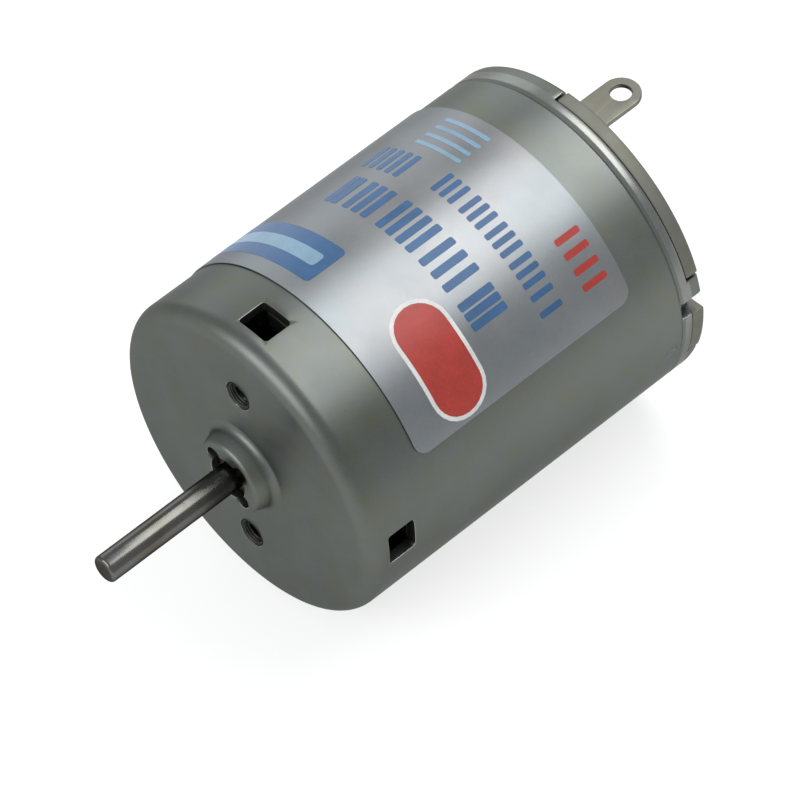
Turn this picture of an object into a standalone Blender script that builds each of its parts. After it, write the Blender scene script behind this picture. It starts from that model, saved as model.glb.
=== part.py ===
"""Small round brushed motor, in metres.

The motor's axis is Y. The shaft points towards -Y, and the can's flat front face lies in the plane
y = 0, with the origin at its centre. Angles round the axis start at +Z and grow towards +X.
"""
import math

import bmesh
import bpy
from mathutils import Matrix

MM = 0.001
DEGREE = math.pi / 180
QUARTER = 0.5 * math.pi
TOP_AND_BOTTOM = (0.0, math.pi)
RIGHT_AND_LEFT = (QUARTER, 3 * QUARTER)

# Clearances
SEAT_GAP = 0.10 * MM        # between pieces that sit on or in one another
SHAFT_FIT = 0.05 * MM       # radial, between the shaft and what is on it or carries it
BRUSH_FIT = 0.08 * MM       # radial, between the commutator and a brush
LABEL_GAP = 0.04 * MM       # between the can and the label's back

# Fineness of round shapes
CAN_SEGMENTS = 48
SMALL_SEGMENTS = 24
CORNER_STEPS = 4
ARC_STEP = 7.5 * DEGREE
SMOOTH_ANGLE = 30 * DEGREE
BEVEL_ANGLE = 50 * DEGREE     # edges sharper than this are rounded
MERGE_DISTANCE = 0.001 * MM
CUT_MARGIN = 0.5 * MM       # how far a cutter reaches past what it cuts

# Can
CAN_RADIUS = 12.1 * MM
CAN_LENGTH = 30.5 * MM
CAN_WALL = 0.8 * MM
CAN_CORNER = 1.3 * MM       # outer corner between the side and the front face
BOSS_WALL = 0.55 * MM       # round the bush
BOSS_LENGTH = 1.5 * MM
BOSS_EDGE = 0.35 * MM       # rounding of the boss's rim
BOSS_FILLET = 0.6 * MM      # rounding where the boss meets the front face
BOSS_LIP = 0.6 * MM         # thickness of the lip in front of the bush
MOUTH_CLEARANCE = 0.6 * MM  # round the shaft, in both lips
LOBE_RADIUS = 0.6 * MM
LOBE_COUNT = 4
SCREW_HOLE_RADIUS = 1.0 * MM
SCREW_HOLE_PLACE = 7.0 * MM
WINDOW_COUNT = 4
WINDOW_WIDTH = 2.6 * MM
WINDOW_LENGTH = 2.1 * MM
WINDOW_FRONT = 1.75 * MM
STOP_SETBACK = 0.1 * MM     # from a window back to its tongue
STOP_THICKNESS = 0.5 * MM   # tongue bent in behind each window, which stops the magnets
STOP_WIDTH = 2.0 * MM
STOP_DEPTH = 1.4 * MM

# Rear rim of the can: where the end cap's ears reach out through it, repeated half a turn on
RIM_CUT_DEPTH = 1.6 * MM
NOTCH_DEPTH = 1.9 * MM
WIDE_CUT = (-3.0 * DEGREE, 73.5 * DEGREE)
NOTCH = (80.5 * DEGREE, 86.5 * DEGREE)
NARROW_CUT = (86.5 * DEGREE, 108.5 * DEGREE)
EAR_MARGIN = 1.0 * DEGREE   # gap between an ear and the sides of its cut
LIP_DEPTH = 0.8 * MM        # how far the rolled rim reaches in over the end cap

# Label
LABEL_THICKNESS = 0.08 * MM
LABEL_FRONT = 5.6 * MM
LABEL_SETBACK = 4.0 * MM        # from the can's rim in to the label's rear edge
LABEL_EDGE = 65.0 * DEGREE
LABEL_SWEEP = -250.0 * DEGREE

# Bushes, washers and spacers
BUSH_RADIUS = 2.4 * MM
BUSH_LENGTH = 2.6 * MM
WASHER_WIDTH = 1.15 * MM
WASHER_THICKNESS = 0.4 * MM
SPACER_WALL = 0.85 * MM
REAR_SPACER_LENGTH = 1.4 * MM

# Shaft
SHAFT_RADIUS = 1.0 * MM
SHAFT_FREE_LENGTH = 12.4 * MM
SHAFT_END_SETBACK = 0.7 * MM    # from the rear boss's face in to the shaft's rear end
SHAFT_CHAMFER = 0.22 * MM

# End cap
CAP_THICKNESS = 1.4 * MM
CAP_SETBACK = 0.6 * MM          # from the rear plane of the can in to the cap's face
REAR_BOSS_WALL = 0.8 * MM       # round the bush
REAR_BOSS_LENGTH = 1.7 * MM
REAR_LIP = 0.4 * MM
EAR_DEPTH = 1.7 * MM            # radial depth of an ear
VENT_RADIUS = 6.9 * MM
VENT_WIDTH = 1.8 * MM
VENT_HALF_ANGLE = 24.0 * DEGREE

# Brush holder
HOLDER_THICKNESS = 1.4 * MM
HOLDER_CLEARANCE = 1.0 * MM     # round the commutator
COLLAR_WIDTH = 3.5 * MM
COLLAR_THICKNESS = 1.6 * MM
COLLAR_RISE = 0.3 * MM          # how far a collar stands out of the end cap

# Terminals
TERMINAL_INSET = 2.5 * MM       # from the can's bore in to the middle of a terminal
TERMINAL_WIDTH = 2.8 * MM
TERMINAL_THICKNESS = 0.4 * MM
EYELET_BEYOND = 4.4 * MM        # from the rear plane of the can to the eyelet's centre
EYELET_HOLE = 0.75 * MM

# Brushes and their arms
ARM_THICKNESS = 0.2 * MM
ARM_WIDTH = 2.6 * MM
ARM_TO_HOLDER = 0.8 * MM
ARM_BEND = 1.2 * MM
ARM_TAIL = 1.3 * MM             # how far the arm reaches past the middle of its terminal
ARM_TIP = 1.7 * MM              # how far it reaches past the middle of its brush
BRUSH_LENGTH = 1.5 * MM
BRUSH_WIDTH = 2.6 * MM
BRUSH_HEIGHT = 2.0 * MM

# Commutator
HUB_RADIUS = 2.6 * MM
HUB_LENGTH = 6.9 * MM
SEGMENT_THICKNESS = 0.5 * MM
SEGMENT_LENGTH = 4.3 * MM
SEGMENT_SETBACK = 0.7 * MM      # from the hub's rear end to the segments
SEGMENT_SLIT = 7.2 * DEGREE
TAB_REACH = 1.5 * MM
TAB_WIDTH = 1.5 * MM
TAB_THICKNESS = 0.35 * MM
RING_THICKNESS = 0.6 * MM
RING_LENGTH = 0.4 * MM
VARISTOR_WIDTH = 2.2 * MM
VARISTOR_LENGTH = 0.8 * MM

# Magnets and the clips between them
MAGNET_THICKNESS = 2.6 * MM
MAGNET_HALF_ANGLE = 62.0 * DEGREE
MAGNET_OVERHANG = 2.8 * MM      # how far the magnets reach behind the core
CLIP_THICKNESS = 0.5 * MM
CLIP_LEG_ANGLE = 8.0 * DEGREE
CLIP_BRIDGE = 2.4 * MM
CLIP_SETBACK = 4.35 * MM        # from the magnets' rear end to the clips' rear end

# Armature
POLE_COUNT = 3
AIR_GAP = 0.35 * MM
CORE_FRONT = 7.5 * MM
CORE_HUB_RADIUS = 3.0 * MM
NECK_HALF_WIDTH = 1.5 * MM
TIP_THICKNESS = 1.3 * MM
TIP_HALF_ANGLE = 50.0 * DEGREE
INSULATOR_THICKNESS = 0.3 * MM
INSULATOR_INSET = 0.3 * MM
COIL_WIDTH = 1.9 * MM
COIL_END = 1.9 * MM             # how far a coil's turns reach past the insulators
COIL_CORNER = 0.9 * MM
COIL_CORNER_STEPS = 3
COIL_ROUNDING = 0.4 * MM

# Finishes: colour, roughness, metallic
PLATED_STEEL = ((0.36, 0.37, 0.37), 0.38, 0.9)
OLIVE_STEEL = ((0.30, 0.31, 0.27), 0.45, 0.7)
GROUND_STEEL = ((0.70, 0.70, 0.70), 0.18, 1.0)
SPRING_STEEL = ((0.45, 0.46, 0.47), 0.3, 1.0)
CORE_STEEL = ((0.30, 0.30, 0.31), 0.5, 0.9)
FOIL = ((0.72, 0.74, 0.76), 0.3, 0.6)
OILED_BRONZE = ((0.28, 0.20, 0.12), 0.55, 0.8)
SPRING_BRONZE = ((0.55, 0.38, 0.20), 0.35, 1.0)
TINNED_BRASS = ((0.42, 0.41, 0.36), 0.35, 1.0)
COPPER = ((0.60, 0.27, 0.14), 0.3, 1.0)
ENAMELLED_WIRE = ((0.45, 0.16, 0.05), 0.35, 0.6)
FERRITE = ((0.05, 0.05, 0.055), 0.7, 0.1)
CARBON = ((0.04, 0.04, 0.045), 0.6, 0.2)
OXIDE = ((0.20, 0.22, 0.24), 0.6, 0.0)
PHENOLIC = ((0.13, 0.10, 0.08), 0.5, 0.0)
GREEN_FIBRE = ((0.06, 0.25, 0.12), 0.6, 0.0)
PALE_FIBRE = ((0.75, 0.68, 0.50), 0.6, 0.0)
NYLON = ((0.50, 0.50, 0.50), 0.5, 0.0)

# Places that follow from the sizes above
CAN_BORE = CAN_RADIUS - CAN_WALL
RIM = CAN_LENGTH - RIM_CUT_DEPTH
CAP_FACE = CAN_LENGTH - CAP_SETBACK
CAP_BACK = CAP_FACE - CAP_THICKNESS
CAP_RADIUS = CAN_BORE - SEAT_GAP
TERMINAL_PLACE = CAN_BORE - TERMINAL_INSET
LABEL_REAR = RIM - LABEL_SETBACK
REAR_BOSS_FACE = CAP_FACE + REAR_BOSS_LENGTH
BUSH_SEAT = BUSH_RADIUS + SEAT_GAP
BOSS_RADIUS = BUSH_SEAT + BOSS_WALL
REAR_BOSS_RADIUS = BUSH_SEAT + REAR_BOSS_WALL
MOUTH_RADIUS = SHAFT_RADIUS + MOUTH_CLEARANCE
LOBE_PLACE = BUSH_RADIUS - LOBE_RADIUS
BORE = SHAFT_RADIUS + SHAFT_FIT
WASHER_RADIUS = BORE + WASHER_WIDTH
SPACER_RADIUS = BORE + SPACER_WALL
BOSS_LIP_BACK = -BOSS_LENGTH + BOSS_LIP
FRONT_BUSH_FRONT = BOSS_LIP_BACK + SEAT_GAP
FRONT_BUSH_BACK = FRONT_BUSH_FRONT + BUSH_LENGTH
REAR_BUSH_BACK = REAR_BOSS_FACE - REAR_LIP - SEAT_GAP
REAR_BUSH_FRONT = REAR_BUSH_BACK - BUSH_LENGTH
HOLDER_BACK = CAP_BACK - SEAT_GAP
HOLDER_FRONT = HOLDER_BACK - HOLDER_THICKNESS
ARM_BACK = HOLDER_FRONT - ARM_TO_HOLDER
ARM_FRONT = ARM_BACK - ARM_WIDTH
REAR_WASHER_BACK = REAR_BUSH_FRONT - SEAT_GAP
REAR_WASHER_FRONT = REAR_WASHER_BACK - WASHER_THICKNESS
HUB_BACK = REAR_WASHER_FRONT - SEAT_GAP
HUB_FRONT = HUB_BACK - HUB_LENGTH
SEGMENT_BACK = HUB_BACK - SEGMENT_SETBACK
SEGMENT_FRONT = SEGMENT_BACK - SEGMENT_LENGTH
SEGMENT_BORE = HUB_RADIUS + SEAT_GAP
COMMUTATOR_RADIUS = SEGMENT_BORE + SEGMENT_THICKNESS
VARISTOR_RADIUS = SEGMENT_BORE + VARISTOR_WIDTH
HOLDER_BORE = COMMUTATOR_RADIUS + HOLDER_CLEARANCE
REAR_SPACER_BACK = HUB_FRONT - SEAT_GAP
REAR_SPACER_FRONT = REAR_SPACER_BACK - REAR_SPACER_LENGTH
REAR_INSULATOR_BACK = REAR_SPACER_FRONT - SEAT_GAP
CORE_BACK = REAR_INSULATOR_BACK - INSULATOR_THICKNESS - SEAT_GAP
FRONT_INSULATOR_BACK = CORE_FRONT - SEAT_GAP
FRONT_INSULATOR_FRONT = FRONT_INSULATOR_BACK - INSULATOR_THICKNESS
WINDOW_BACK = WINDOW_FRONT + WINDOW_LENGTH
STOP_BACK = WINDOW_BACK + STOP_SETBACK + STOP_THICKNESS
MAGNET_FRONT = STOP_BACK + SEAT_GAP
MAGNET_BACK = CORE_BACK + MAGNET_OVERHANG
CLIP_BACK = MAGNET_BACK - CLIP_SETBACK
MAGNET_OUTER = CAN_BORE - SEAT_GAP
MAGNET_INNER = MAGNET_OUTER - MAGNET_THICKNESS
CORE_RADIUS = MAGNET_INNER - AIR_GAP


# ---------------------------------------------------------------- tools

def clear_scene():
    for old in list(bpy.data.objects):
        bpy.data.objects.remove(old, do_unlink=True)


def finish(name, look):
    """A Principled material for one piece, from its colour, roughness and metallic value."""
    colour, roughness, metallic = look
    material = bpy.data.materials.new(name)
    material.use_nodes = True
    shader = material.node_tree.nodes["Principled BSDF"]
    shader.inputs["Base Color"].default_value = (*colour, 1.0)
    shader.inputs["Roughness"].default_value = roughness
    shader.inputs["Metallic"].default_value = metallic
    return material


def to_object(name, shape, material=None):
    """Turn a bmesh into an object with outward faces and smooth round sides."""
    bmesh.ops.remove_doubles(shape, verts=shape.verts, dist=MERGE_DISTANCE)
    bmesh.ops.recalc_face_normals(shape, faces=shape.faces)
    mesh = bpy.data.meshes.new(name)
    shape.to_mesh(mesh)
    shape.free()
    mesh.shade_smooth()
    mesh.set_sharp_from_angle(angle=SMOOTH_ANGLE)
    piece = bpy.data.objects.new(name, mesh)
    bpy.context.scene.collection.objects.link(piece)
    if material:
        mesh.materials.append(material)
    return piece


def combine(target, tool, operation):
    """Cut the tool out of the target, or join it on, and leave the tool as a guide."""
    modifier = target.modifiers.new(tool.name, "BOOLEAN")
    modifier.operation = operation
    modifier.object = tool
    tool.hide_render = True
    tool.display_type = "WIRE"


def arc_points(centre, radius, start, end, steps=CORNER_STEPS):
    """Points along an arc, from the start angle to the end angle."""
    points = []
    for step in range(steps + 1):
        angle = start + (end - start) * step / steps
        points.append((centre[0] + radius * math.cos(angle), centre[1] + radius * math.sin(angle)))
    return points


def on_circle(radius, angle):
    """Place at an angle that starts at +Z and grows towards +X, as (x, z)."""
    return (radius * math.sin(angle), radius * math.cos(angle))


def circle_run(radius, start, end, step=ARC_STEP):
    """Points from one angle to another round the motor's axis, as (x, z)."""
    count = max(1, math.ceil(abs(end - start) / step))
    return [on_circle(radius, start + (end - start) * index / count) for index in range(count + 1)]


def spin_profile(shape, profile, start=0.0, sweep=2 * math.pi, steps=CAN_SEGMENTS):
    """Turn a closed profile of (radius, y) points about the Y axis, all round or part of the way."""
    corners = []
    for radius, along in profile:
        across, up = on_circle(radius, start)
        corners.append(shape.verts.new((across, along, up)))
    edges = [shape.edges.new((corners[index - 1], corners[index])) for index in range(len(corners))]
    whole = abs(sweep) >= 2 * math.pi
    result = bmesh.ops.spin(shape, geom=corners + edges, cent=(0, 0, 0), axis=(0, 1, 0),
                            angle=sweep, steps=steps, use_merge=whole, use_duplicate=False)
    if not whole:
        last = [item for item in result["geom_last"] if isinstance(item, bmesh.types.BMEdge)]
        bmesh.ops.edgeloop_fill(shape, edges=edges)
        bmesh.ops.edgeloop_fill(shape, edges=last)


def turned(name, profile, material=None, steps=SMALL_SEGMENTS):
    shape = bmesh.new()
    spin_profile(shape, profile, steps=steps)
    return to_object(name, shape, material)


def ring_profile(inner, outer, front, back):
    return [(inner, front), (outer, front), (outer, back), (inner, back)]


def arc_blocks(name, sectors, inner, outer, front, back, material=None):
    """Curved blocks that follow the can, one for each (start, end) pair of angles."""
    shape = bmesh.new()
    for start, end in sectors:
        steps = max(1, math.ceil(abs(end - start) / ARC_STEP))
        spin_profile(shape, ring_profile(inner, outer, front, back), start, end - start, steps)
    return to_object(name, shape, material)


def prism(name, outline, low, high, material=None, upright=False):
    """Extrude an outline along Y, or along Z when it is upright."""
    shape = bmesh.new()
    if upright:
        corners = [shape.verts.new((across, along, low)) for across, along in outline]
        move = (0, 0, high - low)
    else:
        corners = [shape.verts.new((across, low, up)) for across, up in outline]
        move = (0, high - low, 0)
    extrude(shape, [shape.faces.new(corners)], move)
    return to_object(name, shape, material)


def extrude(shape, faces, move):
    result = bmesh.ops.extrude_face_region(shape, geom=faces, use_keep_orig=True)
    moved = [item for item in result["geom"] if isinstance(item, bmesh.types.BMVert)]
    bmesh.ops.translate(shape, verts=moved, vec=move)


def blocks(name, size, centre, angles, material=None):
    """Boxes of size (x, y, z) at one centre, turned to each angle round the motor's axis."""
    shape = bmesh.new()
    for angle in angles:
        place = Matrix.Rotation(angle, 4, "Y") @ Matrix.Translation(centre)
        bmesh.ops.create_cube(shape, size=1.0, matrix=place @ Matrix.Diagonal((*size, 1.0)))
    return to_object(name, shape, material)


def rods(name, radius, front, back, place, angles):
    """Round rods along Y, at one distance from the axis and at each angle round it."""
    shape = bmesh.new()
    for angle in angles:
        across, up = on_circle(place, angle)
        middle = Matrix.Translation((across, 0.5 * (front + back), up))
        bmesh.ops.create_cone(shape, cap_ends=True, segments=SMALL_SEGMENTS, radius1=radius,
                              radius2=radius, depth=back - front,
                              matrix=middle @ Matrix.Rotation(QUARTER, 4, "X"))
    return to_object(name, shape)


def round_edges(piece, width, segments=1):
    bevel = piece.modifiers.new("rounding", "BEVEL")
    bevel.width = width
    bevel.segments = segments
    bevel.limit_method = "ANGLE"
    bevel.angle_limit = BEVEL_ANGLE


def even_angles(count, first=0.0):
    """Angles spread evenly round a full turn."""
    return [first + 2 * math.pi * index / count for index in range(count)]


def both_halves(sectors):
    """Each (start, end) pair of angles, and the same half a turn on."""
    return [(start + turn, end + turn) for turn in TOP_AND_BOTTOM for start, end in sectors]


# ---------------------------------------------------------------- housing

def can_profile():
    """Half section of the can: out from the boss's mouth, back along the side to the rim, which
    is rolled in over the end cap, and home along the inside."""
    bend = CAN_CORNER - CAN_WALL
    profile = [(MOUTH_RADIUS, -BOSS_LENGTH)]
    profile += arc_points((BOSS_RADIUS - BOSS_EDGE, -BOSS_LENGTH + BOSS_EDGE), BOSS_EDGE, -QUARTER, 0)
    profile += arc_points((BOSS_RADIUS + BOSS_FILLET, -BOSS_FILLET), BOSS_FILLET, math.pi, QUARTER)
    profile += arc_points((CAN_RADIUS - CAN_CORNER, CAN_CORNER), CAN_CORNER, -QUARTER, 0)
    profile += [(CAN_RADIUS, CAN_LENGTH), (CAN_BORE - LIP_DEPTH, CAN_LENGTH)]
    profile += [(CAN_BORE - LIP_DEPTH, CAP_FACE + SEAT_GAP), (CAN_BORE, CAP_FACE + SEAT_GAP)]
    profile += arc_points((CAN_BORE - bend, CAN_CORNER), bend, 0, -QUARTER)
    profile += [(BUSH_SEAT, CAN_WALL), (BUSH_SEAT, BOSS_LIP_BACK), (MOUTH_RADIUS, BOSS_LIP_BACK)]
    return profile


def stop_tongues():
    """Tongues that stand in from half way through the wall, one behind each window."""
    size = (STOP_WIDTH, STOP_THICKNESS, STOP_DEPTH + 0.5 * CAN_WALL)
    middle = (0, STOP_BACK - 0.5 * STOP_THICKNESS, CAN_BORE - STOP_DEPTH + 0.5 * size[2])
    return blocks("stop_tongues", size, middle, even_angles(WINDOW_COUNT))


def windows():
    middle = (0, 0.5 * (WINDOW_FRONT + WINDOW_BACK), CAN_RADIUS - 0.5 * CAN_WALL)
    size = (WINDOW_WIDTH, WINDOW_LENGTH, CAN_WALL + 2 * CUT_MARGIN)
    return blocks("windows", size, middle, even_angles(WINDOW_COUNT))


def rim_cut(name, sectors, depth):
    return arc_blocks(name, both_halves(sectors), CAN_BORE - LIP_DEPTH - CUT_MARGIN,
                      CAN_RADIUS + CUT_MARGIN, CAN_LENGTH - depth, CAN_LENGTH + CUT_MARGIN)


def make_can():
    can = turned("can", can_profile(), finish("can", PLATED_STEEL), CAN_SEGMENTS)
    combine(can, stop_tongues(), "UNION")
    combine(can, windows(), "DIFFERENCE")
    combine(can, rim_cut("ear_cuts", [WIDE_CUT, NARROW_CUT], RIM_CUT_DEPTH), "DIFFERENCE")
    combine(can, rim_cut("rim_notches", [NOTCH], NOTCH_DEPTH), "DIFFERENCE")
    screw_holes = rods("screw_holes", SCREW_HOLE_RADIUS, -CUT_MARGIN, CAN_WALL + CUT_MARGIN,
                       SCREW_HOLE_PLACE, even_angles(2))
    combine(can, screw_holes, "DIFFERENCE")
    lobes = rods("mouth_lobes", LOBE_RADIUS, -BOSS_LENGTH - CUT_MARGIN, BOSS_LIP_BACK + CUT_MARGIN,
                 LOBE_PLACE, even_angles(LOBE_COUNT, 0.5 * QUARTER))
    combine(can, lobes, "DIFFERENCE")


def make_label():
    back = CAN_RADIUS + LABEL_GAP
    arc_blocks("label", [(LABEL_EDGE, LABEL_EDGE + LABEL_SWEEP)], back, back + LABEL_THICKNESS,
               LABEL_FRONT, LABEL_REAR,
               finish("label", FOIL))


def make_bushes():
    for name, front, back in (("front_bush", FRONT_BUSH_FRONT, FRONT_BUSH_BACK),
                              ("rear_bush", REAR_BUSH_FRONT, REAR_BUSH_BACK)):
        turned(name, ring_profile(BORE, BUSH_RADIUS, front, back),
               finish(name, OILED_BRONZE))


def make_magnets():
    for name, side in zip(("magnet_right", "magnet_left"), RIGHT_AND_LEFT):
        arc_blocks(name, [(side - MAGNET_HALF_ANGLE, side + MAGNET_HALF_ANGLE)], MAGNET_INNER,
                   MAGNET_OUTER, MAGNET_FRONT, MAGNET_BACK, finish(name, FERRITE))


def make_magnet_clips():
    """Two U-shaped springs that push the magnets' edges apart."""
    gap_angle = SEAT_GAP / MAGNET_INNER
    half = QUARTER - MAGNET_HALF_ANGLE - gap_angle
    inner = MAGNET_OUTER - CLIP_THICKNESS
    for name, middle in zip(("magnet_clip_top", "magnet_clip_bottom"), TOP_AND_BOTTOM):
        clip = arc_blocks(name, [(middle - half, middle + half)], inner, MAGNET_OUTER,
                          MAGNET_FRONT, CLIP_BACK,
                          finish(name, SPRING_STEEL))
        opening = half - CLIP_LEG_ANGLE
        slot = arc_blocks(name + "_slot", [(middle - opening, middle + opening)], inner - CUT_MARGIN,
                          MAGNET_OUTER + CUT_MARGIN, MAGNET_FRONT + CLIP_BRIDGE,
                          CLIP_BACK + CUT_MARGIN)
        combine(clip, slot, "DIFFERENCE")


# ---------------------------------------------------------------- end cap and brush gear

def end_cap_profile():
    profile = [(BUSH_SEAT, CAP_BACK), (CAP_RADIUS, CAP_BACK), (CAP_RADIUS, CAP_FACE)]
    profile += [(REAR_BOSS_RADIUS, CAP_FACE)]
    profile += arc_points((REAR_BOSS_RADIUS - BOSS_EDGE, REAR_BOSS_FACE - BOSS_EDGE), BOSS_EDGE,
                          0, QUARTER)
    profile += [(MOUTH_RADIUS, REAR_BOSS_FACE), (MOUTH_RADIUS, REAR_BOSS_FACE - REAR_LIP)]
    profile += [(BUSH_SEAT, REAR_BOSS_FACE - REAR_LIP)]
    return profile


def cap_ears():
    """Raised stretches of the end cap that reach out through the cuts in the can's rim."""
    sectors = [(start + EAR_MARGIN, end - EAR_MARGIN) for start, end in (WIDE_CUT, NARROW_CUT)]
    return arc_blocks("cap_ears", both_halves(sectors), CAN_RADIUS - EAR_DEPTH, CAN_RADIUS,
                      RIM + SEAT_GAP, CAN_LENGTH)


def vents(name, front, back):
    """Curved slots on both sides, over the brushes."""
    sectors = [(side - VENT_HALF_ANGLE, side + VENT_HALF_ANGLE) for side in RIGHT_AND_LEFT]
    return arc_blocks(name, sectors, VENT_RADIUS - 0.5 * VENT_WIDTH, VENT_RADIUS + 0.5 * VENT_WIDTH,
                      front - CUT_MARGIN, back + CUT_MARGIN)


def strip_slots(name, width, thickness, front, back):
    """Slots or blocks square to the terminals, at both terminals."""
    middle = (0, 0.5 * (front + back), TERMINAL_PLACE)
    return blocks(name, (width, back - front, thickness), middle, TOP_AND_BOTTOM)


def make_end_cap():
    cap = turned("end_cap", end_cap_profile(), finish("end_cap", OLIVE_STEEL),
                 CAN_SEGMENTS)
    combine(cap, cap_ears(), "UNION")
    collar_slots = strip_slots("collar_slots", COLLAR_WIDTH + 2 * SEAT_GAP, COLLAR_THICKNESS + 2 * SEAT_GAP,
                               CAP_BACK - CUT_MARGIN, CAP_FACE + CUT_MARGIN)
    combine(cap, collar_slots, "DIFFERENCE")
    combine(cap, vents("cap_vents", CAP_BACK, CAP_FACE), "DIFFERENCE")


def make_brush_holder():
    """Moulded plate under the end cap, with a collar round each terminal."""
    holder = turned("brush_holder", ring_profile(HOLDER_BORE, CAP_RADIUS, HOLDER_FRONT, HOLDER_BACK),
                    finish("brush_holder", PHENOLIC), CAN_SEGMENTS)
    collars = strip_slots("collars", COLLAR_WIDTH, COLLAR_THICKNESS, HOLDER_FRONT + 0.5 * HOLDER_THICKNESS,
                          CAP_FACE + COLLAR_RISE)
    combine(holder, collars, "UNION")
    terminal_slots = strip_slots("terminal_slots", TERMINAL_WIDTH + 2 * SEAT_GAP,
                                 TERMINAL_THICKNESS + 2 * SEAT_GAP, HOLDER_FRONT - CUT_MARGIN,
                                 CAP_FACE + COLLAR_RISE + CUT_MARGIN)
    combine(holder, terminal_slots, "DIFFERENCE")
    combine(holder, vents("holder_vents", HOLDER_FRONT, HOLDER_BACK), "DIFFERENCE")


def terminal_outline():
    """Straight strip with a round end, seen from above, as (x, y)."""
    half = 0.5 * TERMINAL_WIDTH
    outline = [(-half, ARM_FRONT), (half, ARM_FRONT)]
    outline += arc_points((0, CAN_LENGTH + EYELET_BEYOND), half, 0, math.pi, SMALL_SEGMENTS // 2)
    return outline


def make_terminals():
    low = TERMINAL_PLACE - 0.5 * TERMINAL_THICKNESS
    high = TERMINAL_PLACE + 0.5 * TERMINAL_THICKNESS
    for name, turn in zip(("terminal_top", "terminal_bottom"), TOP_AND_BOTTOM):
        terminal = prism(name, terminal_outline(), low, high,
                         finish(name, TINNED_BRASS), upright=True)
        terminal.rotation_euler = (0, turn, 0)
        shape = bmesh.new()
        centre = Matrix.Translation((0, CAN_LENGTH + EYELET_BEYOND, TERMINAL_PLACE))
        bmesh.ops.create_cone(shape, cap_ends=True, segments=SMALL_SEGMENTS, radius1=EYELET_HOLE,
                              radius2=EYELET_HOLE, depth=TERMINAL_THICKNESS + 2 * CUT_MARGIN,
                              matrix=Matrix.Rotation(turn, 4, "Y") @ centre)
        combine(terminal, to_object(name + "_eyelet", shape), "DIFFERENCE")


def arm_outline():
    """Spring strip from the terminal, round one bend and down behind the brush, as (x, z)."""
    inner_face = COMMUTATOR_RADIUS + BRUSH_FIT + BRUSH_LENGTH + SEAT_GAP
    top = TERMINAL_PLACE - 0.5 * TERMINAL_THICKNESS - SEAT_GAP
    centre = (inner_face + ARM_THICKNESS - ARM_BEND, top - ARM_BEND)
    outline = [(-ARM_TAIL, top)]
    outline += arc_points(centre, ARM_BEND, QUARTER, 0)
    outline += [(inner_face + ARM_THICKNESS, -ARM_TIP), (inner_face, -ARM_TIP)]
    outline += arc_points(centre, ARM_BEND - ARM_THICKNESS, 0, QUARTER)
    outline += [(-ARM_TAIL, top - ARM_THICKNESS)]
    return outline


def brush_outline():
    """Carbon block with a hollow face towards the commutator, as (x, z)."""
    hollow = COMMUTATOR_RADIUS + BRUSH_FIT
    half = 0.5 * BRUSH_WIDTH
    reach = math.asin(half / hollow)
    outline = circle_run(hollow, QUARTER - reach, QUARTER + reach)
    outline += [(hollow + BRUSH_LENGTH, -half), (hollow + BRUSH_LENGTH, half)]
    return outline


def make_brush_gear():
    low = 0.5 * (ARM_FRONT + ARM_BACK - BRUSH_HEIGHT)
    for side, turn in zip(("right", "left"), TOP_AND_BOTTOM):
        arm = prism("brush_arm_" + side, arm_outline(), ARM_FRONT, ARM_BACK,
                    finish("brush_arm_" + side, SPRING_BRONZE))
        brush = prism("brush_" + side, brush_outline(), low, low + BRUSH_HEIGHT,
                      finish("brush_" + side, CARBON))
        arm.rotation_euler = (0, turn, 0)
        brush.rotation_euler = (0, turn, 0)


# ---------------------------------------------------------------- rotor

def make_shaft():
    front = -SHAFT_FREE_LENGTH
    back = REAR_BOSS_FACE - SHAFT_END_SETBACK
    tip = SHAFT_RADIUS - SHAFT_CHAMFER
    profile = [(0, front), (tip, front), (SHAFT_RADIUS, front + SHAFT_CHAMFER)]
    profile += [(SHAFT_RADIUS, back - SHAFT_CHAMFER), (tip, back), (0, back)]
    return turned("shaft", profile, finish("shaft", GROUND_STEEL))


def star_outline(inset):
    """Three-pole star, as (x, z). The inset draws the tips in from the core's own outline."""
    outer = CORE_RADIUS - inset
    inner = CORE_RADIUS - TIP_THICKNESS
    root = math.asin(NECK_HALF_WIDTH / CORE_HUB_RADIUS)
    neck = math.asin(NECK_HALF_WIDTH / inner)
    next_pole = 2 * math.pi / POLE_COUNT
    outline = []
    for pole in even_angles(POLE_COUNT):
        outline += circle_run(inner, pole - neck, pole - TIP_HALF_ANGLE)
        outline += circle_run(outer, pole - TIP_HALF_ANGLE, pole + TIP_HALF_ANGLE)
        outline += circle_run(inner, pole + TIP_HALF_ANGLE, pole + neck)
        outline += circle_run(CORE_HUB_RADIUS, pole + root, pole + next_pole - root, 2 * ARC_STEP)
    return outline


def bored_star(name, inset, front, back, material):
    star = prism(name, star_outline(inset), front, back, material)
    bore = rods(name + "_bore", BORE, front - CUT_MARGIN, back + CUT_MARGIN, 0.0, [0.0])
    combine(star, bore, "DIFFERENCE")
    return star


def make_core():
    pieces = [bored_star("armature_core", 0.0, CORE_FRONT, CORE_BACK,
                         finish("armature_core", CORE_STEEL))]
    for name, front in (("core_insulator_front", FRONT_INSULATOR_FRONT),
                        ("core_insulator_rear", REAR_INSULATOR_BACK - INSULATOR_THICKNESS)):
        pieces.append(bored_star(name, INSULATOR_INSET, front, front + INSULATOR_THICKNESS,
                                 finish(name, GREEN_FIBRE)))
    return pieces


def rounded_rectangle(half_width, front, back, corner):
    """Outline as (x, y), with the same number of points whatever its corners' radius."""
    across = half_width - corner
    outline = []
    for turn, centre in enumerate(((across, back - corner), (-across, back - corner),
                                   (-across, front + corner), (across, front + corner))):
        outline += arc_points(centre, corner, turn * QUARTER, (turn + 1) * QUARTER, COIL_CORNER_STEPS)
    return outline


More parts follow.
